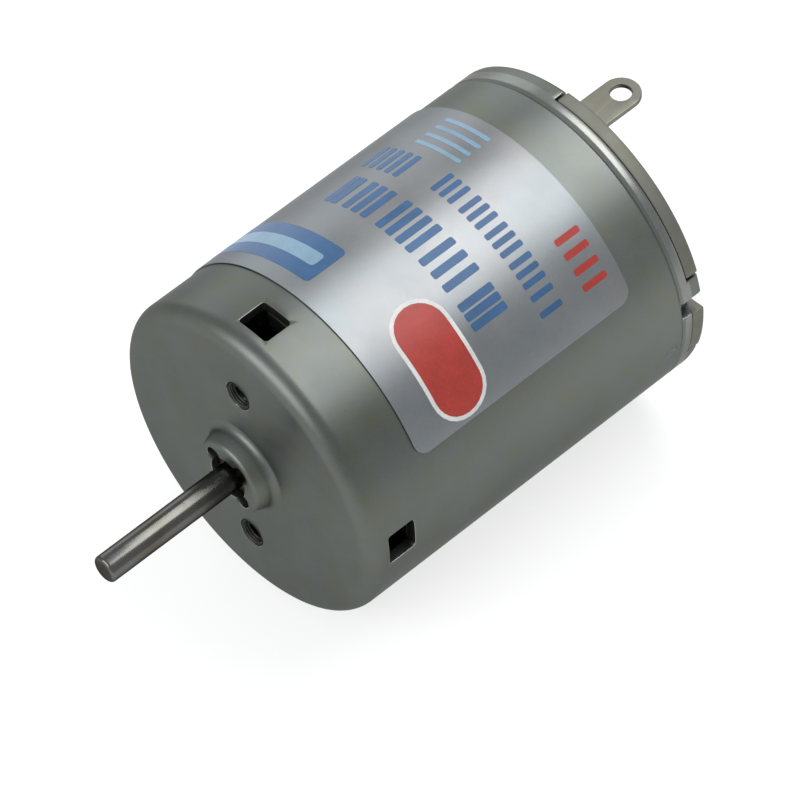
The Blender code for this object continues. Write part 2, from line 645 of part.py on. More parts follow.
def coil_shape():
    """Closed winding round one pole's neck, which stands along +Z."""
    hole = NECK_HALF_WIDTH + SEAT_GAP
    half = hole + COIL_WIDTH
    front = FRONT_INSULATOR_FRONT - SEAT_GAP
    back = REAR_INSULATOR_BACK + SEAT_GAP
    low = CORE_HUB_RADIUS + SEAT_GAP
    high = math.sqrt((CORE_RADIUS - TIP_THICKNESS - SEAT_GAP) ** 2 - half ** 2)
    shape = bmesh.new()
    loops = []
    for outline in (rounded_rectangle(half, front - COIL_END, back + COIL_END, COIL_CORNER),
                    rounded_rectangle(hole, front, back, 2 * SEAT_GAP)):
        corners = [shape.verts.new((across, along, low)) for across, along in outline]
        loops += [shape.edges.new((corners[index - 1], corners[index])) for index in range(len(corners))]
    result = bmesh.ops.bridge_loops(shape, edges=loops)
    extrude(shape, result["faces"], (0, 0, high - low))
    return shape


def make_windings():
    pieces = []
    for index, angle in enumerate(even_angles(POLE_COUNT), start=1):
        name = f"winding_{index}"
        coil = to_object(name, coil_shape(), finish(name, ENAMELLED_WIRE))
        coil.rotation_euler = (0, angle, 0)
        round_edges(coil, COIL_ROUNDING)
        pieces.append(coil)
    return pieces


def make_shaft_rings():
    """Thrust washers and spacers, threaded on the shaft."""
    front = FRONT_BUSH_BACK + SEAT_GAP
    back = front + WASHER_THICKNESS
    rings = [
        ("thrust_washer_front", WASHER_RADIUS, front, back, PALE_FIBRE),
        ("thrust_washer_rear", WASHER_RADIUS, REAR_WASHER_FRONT, REAR_WASHER_BACK, PALE_FIBRE),
        ("spacer_front", SPACER_RADIUS, back + SEAT_GAP, FRONT_INSULATOR_FRONT - SEAT_GAP, NYLON),
        ("spacer_rear", SPACER_RADIUS, REAR_SPACER_FRONT, REAR_SPACER_BACK, NYLON),
    ]
    return [turned(name, ring_profile(BORE, radius, low, high), finish(name, look))
            for name, radius, low, high, look in rings]


def commutator_segment(name, angle):
    """Curved copper bar with a solder tab standing out at its front end."""
    half = math.pi / POLE_COUNT - 0.5 * SEGMENT_SLIT
    bar = arc_blocks(name, [(-half, half)], SEGMENT_BORE, COMMUTATOR_RADIUS, SEGMENT_FRONT, SEGMENT_BACK,
                     finish(name, COPPER))
    low = COMMUTATOR_RADIUS - 0.5 * SEGMENT_THICKNESS
    size = (TAB_WIDTH, TAB_THICKNESS, COMMUTATOR_RADIUS + TAB_REACH - low)
    middle = (0, SEGMENT_FRONT + 0.5 * TAB_THICKNESS, low + 0.5 * size[2])
    tab = blocks(name + "_tab", size, middle, [0.0])
    combine(bar, tab, "UNION")
    tab.rotation_euler = (0, angle, 0)
    bar.rotation_euler = (0, angle, 0)
    return [bar, tab]


def make_commutator():
    pieces = [turned("commutator_hub", ring_profile(BORE, HUB_RADIUS, HUB_FRONT, HUB_BACK),
                     finish("commutator_hub", PHENOLIC))]
    first = math.pi / POLE_COUNT
    for index, angle in enumerate(even_angles(POLE_COUNT, first), start=1):
        pieces += commutator_segment(f"commutator_segment_{index}", angle)
    ring_front = SEGMENT_BACK + SEAT_GAP
    pieces.append(turned("commutator_ring",
                         ring_profile(SEGMENT_BORE, SEGMENT_BORE + RING_THICKNESS, ring_front,
                                      ring_front + RING_LENGTH),
                         finish("commutator_ring", PHENOLIC)))
    varistor_back = SEGMENT_FRONT - SEAT_GAP
    pieces.append(turned("varistor_ring",
                         ring_profile(SEGMENT_BORE, VARISTOR_RADIUS, varistor_back - VARISTOR_LENGTH,
                                      varistor_back),
                         finish("varistor_ring", OXIDE)))
    return pieces


def make_rotor():
    """Everything that turns, under an empty on the motor's axis."""
    axis = bpy.data.objects.new("rotor_axis", None)
    bpy.context.scene.collection.objects.link(axis)
    pieces = [make_shaft()] + make_core() + make_windings() + make_shaft_rings() + make_commutator()
    for piece in pieces:
        piece.parent = axis


def main():
    clear_scene()
    make_can()
    make_label()
    make_bushes()
    make_magnets()
    make_magnet_clips()
    make_end_cap()
    make_brush_holder()
    make_terminals()
    make_brush_gear()
    make_rotor()


main()
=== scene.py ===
# %% [markdown]
# # A small can motor, piece by piece
#
# The object is a brushed electric motor, 24 mm across. A drawn steel can carries a foil label, a
# steel end cap sits in the can's rolled rim, two solder tabs stand out of it, and a thin shaft turns
# in two bronze bushes. Inside are magnets, a wound core, a commutator and brushes.
#
# This notebook loads the measured model first. It then models the pieces that show again, in finer
# detail and in the same places, and gives every piece a finish made of nodes.

# %% Load the measured model
import math
import bpy
from mathutils import Matrix, Vector


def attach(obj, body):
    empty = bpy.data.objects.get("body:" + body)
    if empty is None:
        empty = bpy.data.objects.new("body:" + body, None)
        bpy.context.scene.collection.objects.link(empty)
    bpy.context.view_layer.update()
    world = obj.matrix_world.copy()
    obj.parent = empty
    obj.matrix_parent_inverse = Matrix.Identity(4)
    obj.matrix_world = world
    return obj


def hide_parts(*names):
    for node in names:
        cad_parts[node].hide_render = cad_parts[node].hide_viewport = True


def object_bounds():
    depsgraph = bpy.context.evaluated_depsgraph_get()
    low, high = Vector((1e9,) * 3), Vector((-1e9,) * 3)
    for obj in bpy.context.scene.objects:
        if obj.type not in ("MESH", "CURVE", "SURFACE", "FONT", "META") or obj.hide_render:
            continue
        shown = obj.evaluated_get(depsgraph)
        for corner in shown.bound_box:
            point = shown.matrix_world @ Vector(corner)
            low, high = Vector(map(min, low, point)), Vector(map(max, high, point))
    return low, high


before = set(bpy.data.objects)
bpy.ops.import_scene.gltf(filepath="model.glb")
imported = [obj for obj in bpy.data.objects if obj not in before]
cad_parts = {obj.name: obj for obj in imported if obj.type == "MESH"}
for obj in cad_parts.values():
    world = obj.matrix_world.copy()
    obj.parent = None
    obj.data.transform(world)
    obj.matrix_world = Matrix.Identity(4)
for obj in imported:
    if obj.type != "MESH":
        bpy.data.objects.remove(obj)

measured_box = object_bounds()
print("nodes", len(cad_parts), "box in mm", [[round(c * 1000, 2) for c in p] for p in measured_box])

# %% [markdown]
# ## Working by hand, from code
#
# Blender's operators act on whatever is selected, so each step starts with nothing selected. The
# small helpers below do what a hand does on the screen: take one piece, pick some of its faces or
# edges by where they lie, and apply a modifier. Sizes are written in millimetres.

# %% Helpers for picking things
MM = 0.001
FULL_TURN = 2 * math.pi
MERGE_GAP = 0.000001              # points closer than this, in metres, are one point
BOTH_SIDES = (0, 180)             # turns round the axis, in degrees
FOUR_SIDES = (0, 90, 180, 270)


def only(piece):
    """Leave any old selection and take this piece alone."""
    if bpy.context.object and bpy.context.object.mode != "OBJECT":
        bpy.ops.object.mode_set(mode="OBJECT")
    bpy.ops.object.select_all(action="DESELECT")
    piece.select_set(True)
    bpy.context.view_layer.objects.active = piece
    return piece


def pick(piece, kind, wanted):
    """Open a piece for editing with the faces, edges or points selected whose middle passes the test."""
    only(piece)
    bpy.ops.object.mode_set(mode="EDIT")
    bpy.ops.mesh.select_mode(type=kind)
    bpy.ops.mesh.select_all(action="DESELECT")
    bpy.ops.object.mode_set(mode="OBJECT")
    mesh = piece.data
    parts = {"FACE": mesh.polygons, "EDGE": mesh.edges, "VERT": mesh.vertices}[kind]
    count = 0
    for part in parts:
        if kind == "FACE":
            middle = part.center
        elif kind == "EDGE":
            middle = sum((mesh.vertices[i].co for i in part.vertices), Vector()) / 2
        else:
            middle = part.co
        part.select = bool(wanted(middle / MM))
        count += part.select
    bpy.ops.object.mode_set(mode="EDIT")
    return count


def apply_modifiers(piece):
    only(piece)
    for modifier in list(piece.modifiers):
        bpy.ops.object.modifier_apply(modifier=modifier.name)
    return piece


def settle(piece):
    """Put a piece's place, turn and size into its mesh, so that its object sits at the origin."""
    only(piece)
    bpy.ops.object.transform_apply(location=True, rotation=True, scale=True)
    return piece


def smooth(piece, degrees=32):
    only(piece)
    bpy.ops.object.shade_smooth_by_angle(angle=math.radians(degrees))
    return piece


def soften(piece, width, segments=2, degrees=40, edge_finish=-1):
    """Round every edge that is sharper than an angle, as a tumbled or worn edge is. The new narrow faces
    can have the piece's material of another number."""
    bevel = piece.modifiers.new("softened edges", "BEVEL")
    bevel.width = width * MM
    bevel.segments = segments
    bevel.limit_method = "ANGLE"
    bevel.angle_limit = math.radians(degrees)
    bevel.use_clamp_overlap = False
    bevel.material = edge_finish
    smooth(apply_modifiers(piece))
    flat = piece.modifiers.new("flat faces stay flat", "WEIGHTED_NORMAL")
    flat.keep_sharp, flat.weight = True, 80
    return apply_modifiers(piece)


def cut(piece, *tools):
    """Take the tools' shapes out of a piece, as a punch does."""
    for tool in tools:
        punch = piece.modifiers.new("punch", "BOOLEAN")
        punch.operation, punch.solver, punch.object = "DIFFERENCE", "EXACT", tool
        apply_modifiers(piece)
        bpy.data.objects.remove(tool)
    return piece


def weld(piece, *others):
    """Make one solid of a piece and others that reach into it."""
    for other in others:
        joint = piece.modifiers.new("weld", "BOOLEAN")
        joint.operation, joint.solver, joint.object = "UNION", "EXACT", other
        apply_modifiers(piece)
        bpy.data.objects.remove(other)
    return piece


print("helpers ready")

# %% [markdown]
# ## Turned shapes and arcs
#
# Nearly every piece of a motor is round about one line, the Y axis. Such a shape is quick to make
# from its section: a single point is extruded along the section's outline, and the outline is spun
# once round the axis. Spinning leaves a seam, so the points there are merged, and then the
# faces are made to point outwards.

# %% Helpers for round shapes
def arc(centre, radius, first, last, steps=6):
    """Points of an arc in a section. Each point is (distance from the axis, y), and angle 0 points
    outwards."""
    angles = [math.radians(first + (last - first) * i / steps) for i in range(steps + 1)]
    return [(centre[0] + radius * math.cos(a), centre[1] + radius * math.sin(a)) for a in angles]


def clean(piece):
    """Merge doubled points and make the faces point outwards."""
    only(piece)
    bpy.ops.object.mode_set(mode="EDIT")
    bpy.ops.mesh.select_all(action="SELECT")
    bpy.ops.mesh.remove_doubles(threshold=MERGE_GAP)
    bpy.ops.mesh.normals_make_consistent(inside=False)
    bpy.ops.object.mode_set(mode="OBJECT")
    return piece


def outline(name, points):
    """A line of edges through points given in mm, drawn by extruding one point again and again."""
    bpy.ops.object.select_all(action="DESELECT")
    bpy.ops.mesh.primitive_plane_add(size=MM)
    piece = bpy.context.object
    piece.name = piece.data.name = name
    bpy.ops.object.mode_set(mode="EDIT")
    bpy.ops.mesh.select_mode(type="VERT")
    bpy.ops.mesh.select_all(action="SELECT")
    bpy.ops.mesh.merge(type="CENTER")
    here = Vector()
    for number, point in enumerate(points):
        there = Vector(point) * MM
        if number == 0:
            bpy.ops.transform.translate(value=there - here)
        else:
            bpy.ops.mesh.extrude_vertices_move(TRANSFORM_OT_translate={"value": there - here})
        here = there
    bpy.ops.object.mode_set(mode="OBJECT")
    return piece


def turned(name, section, steps=96):
    """Spin a section, given as (distance from the axis, y) in mm, once round the motor's axis."""
    closed = section if section[0][0] == 0 else section + section[:1]
    piece = outline(name, [(across, along, 0) for across, along in closed])
    bpy.ops.object.mode_set(mode="EDIT")
    bpy.ops.mesh.select_all(action="SELECT")
    bpy.ops.mesh.spin(steps=steps, angle=FULL_TURN, center=(0, 0, 0), axis=(0, 1, 0))
    return clean(piece)


def ring(name, inner, outer, front, back, steps=96):
    return turned(name, [(inner, front), (outer, front), (outer, back), (inner, back)], steps)


def on_circle(radius, degrees):
    """Where an angle round the motor lies, in mm. 0 is straight up and 90 is towards +X."""
    return radius * math.sin(math.radians(degrees)), radius * math.cos(math.radians(degrees))


def sector(name, inner, outer, front, back, first, last, step=2.5):
    """A block of a ring between two angles: one face, spun from the first angle to the last."""
    corners = [(inner, front), (outer, front), (outer, back), (inner, back), (inner, front)]
    places = []
    for radius, along in corners:
        across, up = on_circle(radius, first)
        places.append((across, along, up))
    piece = outline(name, places)
    bpy.ops.object.mode_set(mode="EDIT")
    bpy.ops.mesh.select_all(action="SELECT")
    bpy.ops.mesh.remove_doubles(threshold=MERGE_GAP)
    bpy.ops.mesh.edge_face_add()
    bpy.ops.mesh.spin(steps=max(2, round(abs(last - first) / step)), angle=math.radians(first - last),
                      center=(0, 0, 0), axis=(0, 1, 0))
    return clean(piece)


def block(name, size, place, degrees=0.0, rounding=0.0):
    """A box of size (x, y, z) in mm, placed and then turned round the motor's axis. Its edges along
    the radial direction can be rounded."""
    bpy.ops.object.select_all(action="DESELECT")
    bpy.ops.mesh.primitive_cube_add(size=MM)
    piece = bpy.context.object
    piece.name = piece.data.name = name
    piece.scale = size
    piece.location = Vector(place) * MM
    settle(piece)
    if rounding:
        half = size[0] / 2 * 0.9, size[1] / 2 * 0.9
        pick(piece, "EDGE", lambda m: abs(m.x - place[0]) > half[0] and abs(m.y - place[1]) > half[1])
        bpy.ops.mesh.bevel(offset=rounding * MM, segments=5)
        bpy.ops.object.mode_set(mode="OBJECT")
    piece.matrix_world = Matrix.Rotation(math.radians(degrees), 4, "Y")
    return settle(piece)


def rod(name, radius, front, back, place=(0.0, 0.0), sides=40):
    """A round rod along the motor, at place (x, z)."""
    bpy.ops.object.select_all(action="DESELECT")
    bpy.ops.mesh.primitive_cylinder_add(vertices=sides, radius=radius * MM, depth=(back - front) * MM,
                                        location=(place[0] * MM, (front + back) / 2 * MM, place[1] * MM),
                                        rotation=(math.pi / 2, 0, 0))
    piece = bpy.context.object
    piece.name = piece.data.name = name
    return settle(piece)


print("round helpers ready")

# %% [markdown]
# ## The table, the lamps and the camera
#
# A small metal object is lit by what it mirrors. A wide soft lamp overhead, a little behind, draws
# one long pale band down the side of the can, and a lamp in front lights the rounded front edge. A
# weaker lamp on the left lights the other shoulder, and the dim room keeps the right side dark.
#
# The table is a pale disc. Its own paint gives part of its light, so that it looks white and metal
# mirrors it white, while the rest comes from the lamps, so that the motor's shadow stays.

# %% The table
def nodes_of(material):
    """The node tree of a material and its Principled shader."""
    material.use_nodes = True
    tree = material.node_tree
    return tree, tree.nodes["Principled BSDF"]


def place_node(tree, kind, settings=None, **inputs):
    """Add a node. Its settings are set by name, and its inputs by name or number: a socket is linked
    and anything else is a value. On a colour Mix node, _0 is the factor and _6 and _7 the colours."""
    node = tree.nodes.new(kind)
    for name, value in (settings or {}).items():
        setattr(node, name, value)
    for name, value in inputs.items():
        socket = node.inputs[int(name[1:])] if name[0] == "_" else node.inputs[name.replace("_", " ")]
        if isinstance(value, bpy.types.NodeSocket):
            tree.links.new(value, socket)
        else:
            socket.default_value = value
    return node


def sum_of(tree, how, *values):
    """One Math node: how is ADD, MULTIPLY and so on."""
    inputs = {f"_{number}": value for number, value in enumerate(values)}
    return place_node(tree, "ShaderNodeMath", {"operation": how}, **inputs).outputs[0]


lowest = measured_box[0].z
bpy.ops.object.select_all(action="DESELECT")
bpy.ops.mesh.primitive_circle_add(vertices=96, radius=0.6, fill_type="NGON",
                                  location=(0, 0.01, lowest - 0.00002))
table = bpy.context.object
table.name = "table"
settle(table)

table_paint = bpy.data.materials.new("pale_table")
tree, paint = nodes_of(table_paint)
paint.inputs["Roughness"].default_value = 0.9
paint.inputs["Specular IOR Level"].default_value = 0.1
rays = place_node(tree, "ShaderNodeLightPath")
seen = sum_of(tree, "MAXIMUM", rays.outputs["Is Camera Ray"],
              sum_of(tree, "MAXIMUM", rays.outputs["Is Glossy Ray"], rays.outputs["Is Transmission Ray"]))
paint_colour = place_node(tree, "ShaderNodeMix", {"data_type": "RGBA"}, _0=seen,
                          _6=(0.86, 0.86, 0.86, 1), _7=(0.34, 0.34, 0.34, 1))
tree.links.new(paint_colour.outputs[2], paint.inputs["Base Color"])
far = place_node(tree, "ShaderNodeVectorMath", {"operation": "LENGTH"},
                 _0=place_node(tree, "ShaderNodeTexCoord").outputs["Object"]).outputs["Value"]
fade = place_node(tree, "ShaderNodeMapRange", {"interpolation_type": "SMOOTHSTEP"}, Value=far,
                  From_Min=0.05, From_Max=0.25, To_Min=0.72, To_Max=0.42).outputs[0]
paint.inputs["Emission Color"].default_value = (1, 1, 1, 1)
tree.links.new(sum_of(tree, "MULTIPLY", seen, fade), paint.inputs["Emission Strength"])
table.data.materials.append(table_paint)
print("table at z =", round(lowest * 1000, 2), "mm")

# %% The lamps and the room
middle = Vector((0, 15, 0)) * MM


def soft_lamp(name, direction, distance, size, power, colour=(1, 1, 1)):
    """A soft box at a distance in mm from the motor, turned to face it."""
    towards = Vector(direction).normalized()
    lamp = bpy.data.lights.new(name, "AREA")
    lamp.shape, lamp.size, lamp.size_y = "RECTANGLE", size[0] * MM, size[1] * MM
    lamp.energy, lamp.color = power, colour
    holder = bpy.data.objects.new(name, lamp)
    bpy.context.scene.collection.objects.link(holder)
    holder.location = middle + towards * distance * MM
    holder.rotation_euler = (-towards).to_track_quat("-Z", "Y").to_euler()
    return holder


soft_lamp("overhead", (0.09, 0.42, 0.91), 300, (300, 120), 0.56)
soft_lamp("front_edge", (-0.16, -0.84, 0.52), 300, (250, 160), 0.50)
soft_lamp("left_shoulder", (-0.84, 0.42, 0.20), 300, (220, 200), 0.18, (0.94, 0.97, 1.0))
room = bpy.data.worlds.new("room")
room.use_nodes = True
room.node_tree.nodes["Background"].inputs["Color"].default_value = (0.55, 0.56, 0.57, 1)
bpy.context.scene.world = room
bpy.context.scene.view_settings.view_transform = "Standard"

# %% [markdown]
# ## The camera
#
# The camera looks down at about 50 degrees from the front right, with a long lens, so that the
# motor's length and its roundness are both seen with little perspective. Its three directions are
# written out, because a view that rolls a little to one side has no simple pair of angles.

# %% The camera
RIGHTWARD = Vector((0.6855, 0.7266, -0.0466)).normalized()
UPWARD = Vector((-0.5342, 0.5454, 0.6459))
UPWARD = (UPWARD - RIGHTWARD * UPWARD.dot(RIGHTWARD)).normalized()
BACKWARD = RIGHTWARD.cross(UPWARD)
lens = bpy.data.cameras.new("camera")
lens.sensor_width = 36
lens.lens = 275.0
lens.clip_start, lens.clip_end = 0.01, 10
camera = bpy.data.objects.new("camera", lens)
bpy.context.scene.collection.objects.link(camera)
spot = Vector((0, 15.25, 0)) - 0.901 * RIGHTWARD - 4.032 * UPWARD + 406.94 * BACKWARD
facing = Matrix((RIGHTWARD, UPWARD, BACKWARD)).transposed().to_4x4()
camera.matrix_world = Matrix.Translation(spot * MM) @ facing
bpy.context.scene.camera = camera
print("camera", [round(c, 1) for c in spot])

# %% [markdown]
# ## Finishes that are shared
#
# Metal is never one even grey. It has cloudy plating, a fine grain, and lines left by drawing,
# turning or grinding. Each of these effects is a node group, built once, with numbers to set in
# each material. The groups read Object coordinates, so a pattern stays on its piece.

# %% Node groups
def effect(name, inputs, outputs):
    """A new node group with named sockets. Inputs are (name, kind, value)."""
    tree = bpy.data.node_groups.new(name, "ShaderNodeTree")
    for title, kind, value in inputs:
        socket = tree.interface.new_socket(title, in_out="INPUT", socket_type="NodeSocket" + kind)
        if value is not None:
            socket.default_value = value
    for title, kind in outputs:
        tree.interface.new_socket(title, in_out="OUTPUT", socket_type="NodeSocket" + kind)
    return tree, tree.nodes.new("NodeGroupInput").outputs, tree.nodes.new("NodeGroupOutput").inputs


def noise(tree, vector, scale, detail=3.0, roughness=0.6):
    return place_node(tree, "ShaderNodeTexNoise", Vector=vector, Scale=scale, Detail=detail,
                      Roughness=roughness).outputs["Fac"]


def spread(tree, value, low, high, to_low=0.0, to_high=1.0):
    """Stretch the part of a value between low and high over a new range."""
    return place_node(tree, "ShaderNodeMapRange", Value=value, From_Min=low, From_Max=high, To_Min=to_low,
                      To_Max=to_high).outputs[0]


def stretched(tree, vector, scale):
    return place_node(tree, "ShaderNodeMapping", {"vector_type": "POINT"}, Vector=vector,
                      Scale=scale).outputs[0]


def blend(tree, fac, first, second, how="MIX"):
    return place_node(tree, "ShaderNodeMix", {"data_type": "RGBA", "blend_type": how}, _0=fac, _6=first,
                      _7=second).outputs[2]


def grey(tree, level):
    """The same number as red, green and blue."""
    return place_node(tree, "ShaderNodeCombineColor", Red=level, Green=level, Blue=level).outputs[0]


# Metal skin: cloudy plating, a fine grain, fine lines in one direction and a painted rear highlight.
metal_skin, given, out = effect("metal_skin", [
    ("Vector", "Vector", None), ("Colour", "Color", (0.5, 0.5, 0.5, 1)),
    ("Stain", "Color", (0.4, 0.4, 0.35, 1)), ("Roughness", "Float", 0.4),
    ("Line Direction", "Vector", (1, 0.02, 1)), ("Line Depth", "Float", 0.5), ("Rear Gain", "Float", 0.0),
], [("Colour", "Color"), ("Roughness", "Float"), ("Height", "Float")])
clouds = noise(metal_skin, given["Vector"], 170, 4, 0.55)
stains = noise(metal_skin, given["Vector"], 420, 5, 0.65)
grain = noise(metal_skin, given["Vector"], 9000, 2, 0.7)
lines = noise(metal_skin, stretched(metal_skin, given["Vector"], given["Line Direction"]), 5200, 3, 0.7)
tinted = blend(metal_skin, spread(metal_skin, stains, 0.45, 0.75), given["Colour"], given["Stain"])
shade = sum_of(metal_skin, "ADD", spread(metal_skin, clouds, 0.3, 0.7, 0.90, 1.06),
               spread(metal_skin, grain, 0.3, 0.7, -0.05, 0.05))
# Painted highlight: the colour is raised by up to the painted rear light amount, from y = 0 to y = 30 mm.
along = place_node(metal_skin, "ShaderNodeSeparateXYZ", Vector=given["Vector"]).outputs["Y"]
painted_rear_lift = sum_of(metal_skin, "MULTIPLY", spread(metal_skin, along, 0.0, 0.03), given["Rear Gain"])
shade = sum_of(metal_skin, "MULTIPLY", shade, sum_of(metal_skin, "ADD", painted_rear_lift, 1.0))
shaded = blend(metal_skin, 1.0, tinted, grey(metal_skin, shade), "MULTIPLY")
rough = sum_of(metal_skin, "ADD", given["Roughness"], spread(metal_skin, clouds, 0.3, 0.7, -0.05, 0.06))
rough = sum_of(metal_skin, "ADD", rough, spread(metal_skin, grain, 0.3, 0.7, -0.03, 0.04))
relief = sum_of(metal_skin, "ADD", sum_of(metal_skin, "MULTIPLY", lines, given["Line Depth"]),
                sum_of(metal_skin, "MULTIPLY", grain, 0.35))
for socket, value in zip(out, (shaded, rough, relief)):
    metal_skin.links.new(value, socket)

# Worn edges: a mask that is white where the shape is sharp, broken up by noise.
worn_edges, given, out = effect("worn_edges", [("Vector", "Vector", None), ("Reach", "Float", 0.5)],
                                [("Mask", "Float")])
sharp = worn_edges.nodes.new("ShaderNodeNewGeometry").outputs["Pointiness"]
patchy = spread(worn_edges, noise(worn_edges, given["Vector"], 1500, 4), 0.3, 0.7, 0.35, 1.0)
mask = sum_of(worn_edges, "MULTIPLY", spread(worn_edges, sharp, 0.515, 0.60), patchy)
worn_edges.links.new(sum_of(worn_edges, "MULTIPLY", mask, given["Reach"]), out["Mask"])

# Moulded skin: the matt, faintly mottled surface of plastic, fibre, ceramic or sintered metal.
moulded_skin, given, out = effect("moulded_skin", [
    ("Vector", "Vector", None), ("Colour", "Color", (0.2, 0.2, 0.2, 1)),
    ("Fleck", "Color", (0.3, 0.3, 0.3, 1)), ("Roughness", "Float", 0.5),
    ("Fleck Scale", "Float", 2500.0), ("Fleck Amount", "Float", 0.5),
], [("Colour", "Color"), ("Roughness", "Float"), ("Height", "Float")])
mottle = noise(moulded_skin, given["Vector"], 600, 3)
pits = noise(moulded_skin, given["Vector"], given["Fleck Scale"], 3, 0.7)
flecks = sum_of(moulded_skin, "MULTIPLY", spread(moulded_skin, pits, 0.5, 0.68), given["Fleck Amount"])
base = blend(moulded_skin, flecks, given["Colour"], given["Fleck"])
level = spread(moulded_skin, mottle, 0.3, 0.7, 0.88, 1.10)
base = blend(moulded_skin, 1.0, base, grey(moulded_skin, level), "MULTIPLY")
uneven = spread(moulded_skin, pits, 0.3, 0.7, -0.08, 0.10)
rough = sum_of(moulded_skin, "ADD", given["Roughness"], uneven)
for socket, value in zip(out, (base, rough, sum_of(moulded_skin, "ADD", pits, mottle))):
    moulded_skin.links.new(value, socket)

# Wound wire: ridges square to one direction, as turns of enamelled wire lie side by side, with painted shade
# in the grooves between them.
wound_wire, given, out = effect("wound_wire", [
    ("Vector", "Vector", None), ("Ridge Direction", "Vector", (1, 1, 1)), ("Wires Per Metre", "Float", 3000.0),
], [("Ridge", "Float"), ("Shade", "Float")])
laid = stretched(wound_wire, given["Vector"], given["Ridge Direction"])
wave = place_node(wound_wire, "ShaderNodeTexWave", {"bands_direction": "DIAGONAL"}, Vector=laid,
                  Scale=given["Wires Per Metre"], Distortion=1.2, Detail=2.0, Detail_Scale=0.4)
turns = wave.outputs["Fac"]
wound_wire.links.new(turns, out["Ridge"])
# The Shade output is painted shade: it darkens the colour down to a quarter in the grooves between turns.
wound_wire.links.new(spread(wound_wire, turns, 0.0, 0.5, 0.25, 1.0), out["Shade"])
print("effects", [g.name for g in bpy.data.node_groups])

# %% [markdown]
# ## Metal and moulded finishes
#
# One function makes each metal, and one makes each matt finish. Constant numbers stay on the
# Principled shader's own sockets, and only what changes over the surface comes through a link.

# %% Two ways to make a finish
def use_effect(tree, group, vector, **values):
    """Put an effect in a material. A colour given as three numbers gets an alpha of 1."""
    node = tree.nodes.new("ShaderNodeGroup")
    node.node_tree = group
    tree.links.new(vector, node.inputs["Vector"])
    for name, value in values.items():
        socket = node.inputs[name.replace("_", " ")]
        opaque = isinstance(value, tuple) and len(value) == 3 and socket.type == "RGBA"
        socket.default_value = (*value, 1) if opaque else value
    return node


def metal(name, colour, stain, roughness, metallic=1.0, lines=(1, 0.02, 1), line_depth=0.5, relief=0.15,
          wear=0.5, wear_colour=(0.6, 0.6, 0.58), edge_tint=0.6, painted_rear_light=0.0):
    """A bare or plated metal. A lower edge tint dulls it where it is seen at a slant. A painted rear light
    above 0 paints a highlight that brightens the colour towards the rear.
    """
    material = bpy.data.materials.new(name)
    tree, shader = nodes_of(material)
    place = place_node(tree, "ShaderNodeTexCoord").outputs["Object"]
    skin = use_effect(tree, metal_skin, place, Colour=colour, Stain=stain, Roughness=roughness,
                      Line_Direction=lines, Line_Depth=line_depth, Rear_Gain=painted_rear_light)
    edges = use_effect(tree, worn_edges, place, Reach=wear)
    worn = blend(tree, edges.outputs["Mask"], skin.outputs["Colour"], (*wear_colour, 1))
    tree.links.new(worn, shader.inputs["Base Color"])
    tree.links.new(skin.outputs["Roughness"], shader.inputs["Roughness"])
    shader.inputs["Metallic"].default_value = metallic
    shader.inputs["Specular Tint"].default_value = (edge_tint, edge_tint, edge_tint, 1)
    bump = place_node(tree, "ShaderNodeBump", Height=skin.outputs["Height"], Strength=relief,
                      Distance=0.00002)
    tree.links.new(bump.outputs[0], shader.inputs["Normal"])
    return material


def moulded(name, colour, fleck, roughness, fleck_scale=2500.0, amount=0.5, metallic=0.0, relief=0.3):
    """A matt finish with flecks."""
    material = bpy.data.materials.new(name)
    tree, shader = nodes_of(material)
    place = place_node(tree, "ShaderNodeTexCoord").outputs["Object"]
    skin = use_effect(tree, moulded_skin, place, Colour=colour, Fleck=fleck, Roughness=roughness,
                      Fleck_Scale=fleck_scale, Fleck_Amount=amount)
    tree.links.new(skin.outputs["Colour"], shader.inputs["Base Color"])
    tree.links.new(skin.outputs["Roughness"], shader.inputs["Roughness"])
    shader.inputs["Metallic"].default_value = metallic
    bump = place_node(tree, "ShaderNodeBump", Height=skin.outputs["Height"], Strength=relief,
                      Distance=0.00003)
    tree.links.new(bump.outputs[0], shader.inputs["Normal"])
    return material


def dress(piece, *materials):
    """Give a piece its finishes, in place of any it came with."""
    piece.data.materials.clear()
    for material in materials:
        piece.data.materials.append(material)
    return piece


def paint_faces(piece, number, wanted):
    """Give the faces whose middle passes the test the piece's material of this number."""
    faces = [face for face in piece.data.polygons if wanted(face.center / MM)]
    for face in faces:
        face.material_index = number
    return len(faces)


# %% The metals
ACROSS, ALONG = (0.02, 1, 0.02), (1, 0.02, 1)
EVEN = (1, 1, 1)
# The can's plating carries a painted highlight: its colour is 30 % brighter at the rear than at the front.
plated_steel = metal("plated_steel", (0.136, 0.148, 0.141), (0.136, 0.144, 0.110), 0.43, lines=ALONG,
                     line_depth=0.55, relief=0.16, wear=0.0, wear_colour=(0.30, 0.31, 0.29), edge_tint=0.5,
                     painted_rear_light=0.30)
# Burnished steel: glossier than the plating, and its brighter colour is a painted highlight, so that the rim's
# bead and the rounded edges glint.
burnished_steel_painted_glint = metal("burnished_steel_painted_glint", (0.24, 0.25, 0.24), (0.21, 0.215, 0.19), 0.32, lines=EVEN,
                        line_depth=0.3, relief=0.12, wear=0.4, wear_colour=(0.36, 0.36, 0.34), edge_tint=0.5)
cap_steel = metal("cap_steel", (0.215, 0.220, 0.195), (0.19, 0.185, 0.145), 0.62, lines=EVEN,
                  line_depth=0.3, relief=0.16, wear=0.4, wear_colour=(0.30, 0.30, 0.26), edge_tint=0.5)
ground_steel = metal("ground_steel", (0.125, 0.125, 0.120), (0.105, 0.098, 0.080), 0.20, lines=ACROSS,
                     line_depth=0.8, relief=0.03, wear=0.3, wear_colour=(0.3, 0.3, 0.28), edge_tint=0.25)
